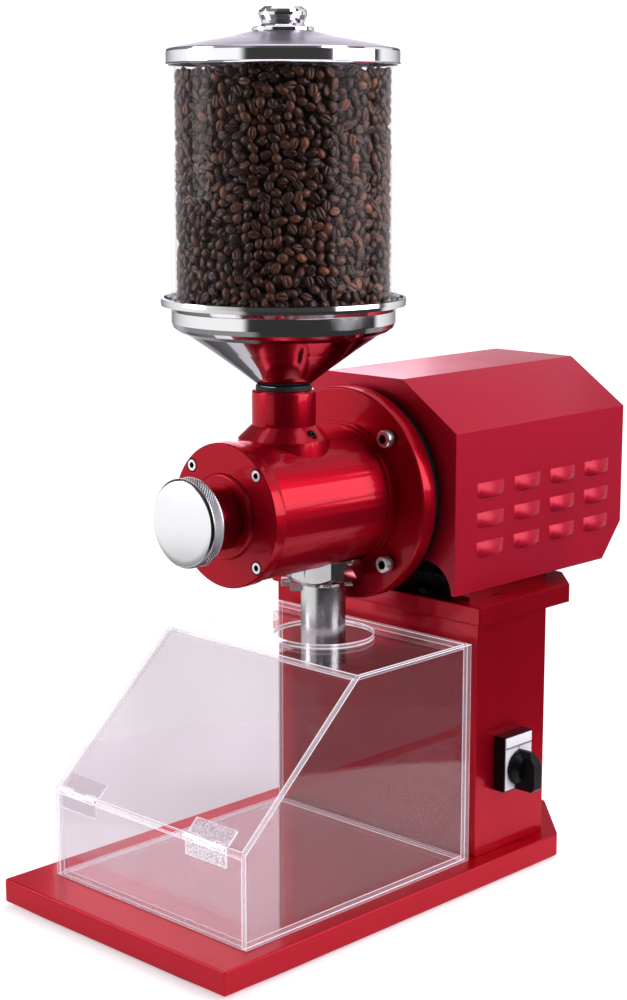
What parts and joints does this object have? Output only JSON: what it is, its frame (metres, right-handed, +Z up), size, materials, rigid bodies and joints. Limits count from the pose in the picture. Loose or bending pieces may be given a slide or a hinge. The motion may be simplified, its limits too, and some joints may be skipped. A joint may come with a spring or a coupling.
{
  "type": "burr coffee grinder",
  "caption": "Counter-top burr grinder: flange motor under a louvred cover on a folded steel stand, horizontal grinding head, tall clear bean hopper and a clear bin with hinged flap.",
  "frame": {"origin": "centre of the bounding box in plan, on the floor under the rubber feet", "axes": "+Z up, +Y from the adjusting knob towards the motor's tail, +X to the side with the switch"},
  "size_m": [0.312, 0.58, 0.805],
  "materials": {
    "red_paint": "gloss candy red",
    "dark_red_paint": "gloss dark red",
    "steel": "zinc plated and brushed",
    "polished_steel": "mirror polished",
    "aluminium": "turned and polished",
    "grey_iron": "machined casting",
    "dark_steel": "mill finish",
    "burr_steel": "ground",
    "copper": "varnished wire",
    "rubber": "matt black",
    "black_plastic": "satin black",
    "clear_acrylic": "clear, polished edges"
  },
  "bodies": {
    "stand": {"base_tray": "red_paint", "base_feet": "rubber", "m5_screws": "steel", "m8_bolts": "steel", "column": "red_paint", "service_panel": "red_paint", "cable_gland": "black_plastic", "run_capacitor": "aluminium", "motor_plate": "red_paint", "cover_rails": "dark_steel", "motor_cover": "red_paint", "motor_frame": "grey_iron", "stator_core": "dark_steel", "stator_windings": "copper", "front_shield": "grey_iron", "rear_shield": "grey_iron", "fan_cowl": "dark_steel", "motor_foot_pads": "rubber", "motor_bearings": "steel", "mounting_flange": "red_paint", "flange_bolts": "steel", "grinding_chamber": "red_paint", "end_plate": "red_paint", "end_plate_screws": "steel", "adjuster_collar": "dark_red_paint", "feed_tube": "red_paint", "lock_screw": "steel", "spout_collar": "polished_steel", "spout_tube": "steel", "spout_bracket": "steel", "switch_housing": "black_plastic", "switch_faceplate": "aluminium"},
    "rotor": {"motor_shaft": "steel", "rotor_core": "dark_steel", "cooling_fan": "black_plastic", "rotating_burr": "burr_steel", "rotating_burr_screws": "steel", "burr_hub": "grey_iron", "feed_auger": "steel"},
    "adjuster": {"adjuster_knob": "aluminium", "adjuster_stem": "steel"},
    "carrier": {"burr_carrier": "grey_iron", "fixed_burr": "burr_steel", "fixed_burr_screws": "steel"},
    "hopper": {"funnel": "polished_steel", "neck_seal": "rubber"},
    "clear_tube": {"hopper_tube": "clear_acrylic"},
    "hopper_lid": {"lid": "polished_steel", "lid_knob": "polished_steel"},
    "bin": {"bin_floor": "clear_acrylic", "bin_sides": "clear_acrylic", "bin_front": "clear_acrylic", "bin_rear": "clear_acrylic", "bin_top": "clear_acrylic", "hinge_lower_leaves": "clear_acrylic", "hinge_pins": "steel"},
    "flap": {"bin_flap": "clear_acrylic", "hinge_upper_leaves": "clear_acrylic"},
    "dial": {"switch_knob": "black_plastic"}
  },
  "joints": [
    {"name": "rotor_spin", "type": "hinge", "parent": "stand", "child": "rotor", "pos_m": [-0.01, -0.007, 0.364], "axis": [0, 1, 0], "continuous": true},
    {"name": "adjuster_turn", "type": "hinge", "parent": "stand", "child": "adjuster", "pos_m": [-0.01, -0.187, 0.364], "axis": [0, 1, 0], "range_deg": [0, 540]},
    {"name": "carrier_travel", "type": "slide", "parent": "stand", "child": "carrier", "axis": [0, -1, 0], "range_m": [0, 0.003]},
    {"name": "hopper_lift", "type": "slide", "parent": "stand", "child": "hopper", "axis": [0, 0, 1], "range_m": [0, 0.06]},
    {"name": "tube_lift", "type": "slide", "parent": "hopper", "child": "clear_tube", "axis": [0, 0, 1], "range_m": [0, 0.05]},
    {"name": "lid_lift", "type": "slide", "parent": "clear_tube", "child": "hopper_lid", "axis": [0, 0, 1], "range_m": [0, 0.08]},
    {"name": "bin_slide", "type": "slide", "parent": "stand", "child": "bin", "axis": [0, -1, 0], "range_m": [-0.005, 0.02]},
    {"name": "flap_hinge", "type": "hinge", "parent": "bin", "child": "flap", "pos_m": [-0.01, -0.253, 0.1105], "axis": [1, 0, 0], "range_deg": [0, 135]},
    {"name": "switch_turn", "type": "hinge", "parent": "stand", "child": "dial", "pos_m": [0.13, 0.0955, 0.1075], "axis": [-1, 0, 0], "range_deg": [0, 60]}
  ],
  "couplings": [
    {"joint": "adjuster_turn", "follows": "carrier_travel", "rad_per_m": 3141.6}
  ]
}
